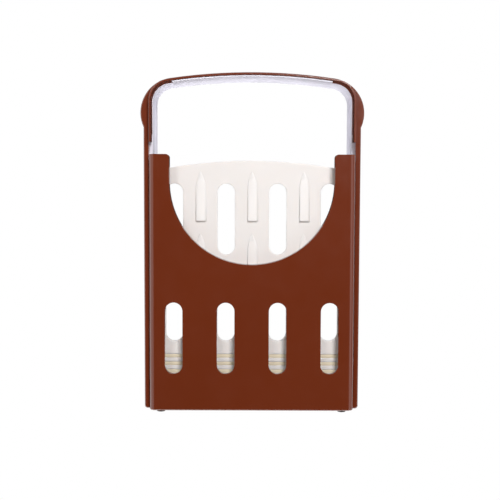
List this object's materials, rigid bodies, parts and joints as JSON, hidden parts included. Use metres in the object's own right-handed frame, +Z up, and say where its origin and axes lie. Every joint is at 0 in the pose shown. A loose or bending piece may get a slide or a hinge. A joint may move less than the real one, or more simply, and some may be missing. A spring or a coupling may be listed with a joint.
{
  "type": "folding bread slicer guide",
  "caption": "Folding bread slicer guide: arched gate with knife slits, slotted loaf bed that folds down and sliding slotted stop plate.",
  "frame": {"origin": "bottom centre of the folded guide's box, on the surface that it stands on", "axes": "+Z up, front with the stop plate towards -Y, +X to the right seen from the front"},
  "size_m": [0.1576, 0.047, 0.24],
  "materials": {
    "brown_abs": "injection-moulded brown ABS, satin",
    "white_abs": "injection-moulded white ABS, satin",
    "steel": "zinc-plated and spring steel",
    "feet_rubber": "moulded dark rubber"
  },
  "bodies": {
    "gate": {"front_frame": "brown_abs", "rear_frame": "brown_abs", "inner_frame": "white_abs", "base_sill": "white_abs", "base_plate": "white_abs", "frame_screws": "steel", "base_screws": "steel", "hinge_pin_left": "steel", "hinge_pin_right": "steel", "detent_spring_left": "steel", "detent_spring_right": "steel", "bed_catch_left": "white_abs", "bed_catch_right": "white_abs", "foot_front_left": "feet_rubber", "foot_front_right": "feet_rubber", "foot_rear_left": "feet_rubber", "foot_rear_right": "feet_rubber"},
    "bed": {"loaf_bed": "white_abs", "bed_foot_left": "feet_rubber", "bed_foot_right": "feet_rubber"},
    "stop": {"stop_plate": "brown_abs", "runner_left": "brown_abs", "runner_right": "brown_abs", "runner_screws": "steel", "stop_foot_left": "feet_rubber", "stop_foot_right": "feet_rubber"}
  },
  "joints": [
    {"name": "bed_fold", "type": "hinge", "parent": "gate", "child": "bed", "pos_m": [0, -0.0045, 0.012], "axis": [-1, 0, 0], "range_deg": [0, 90]},
    {"name": "stop_slide", "type": "slide", "parent": "gate", "child": "stop", "axis": [0, -1, 0], "range_m": [0, 0.02]}
  ]
}
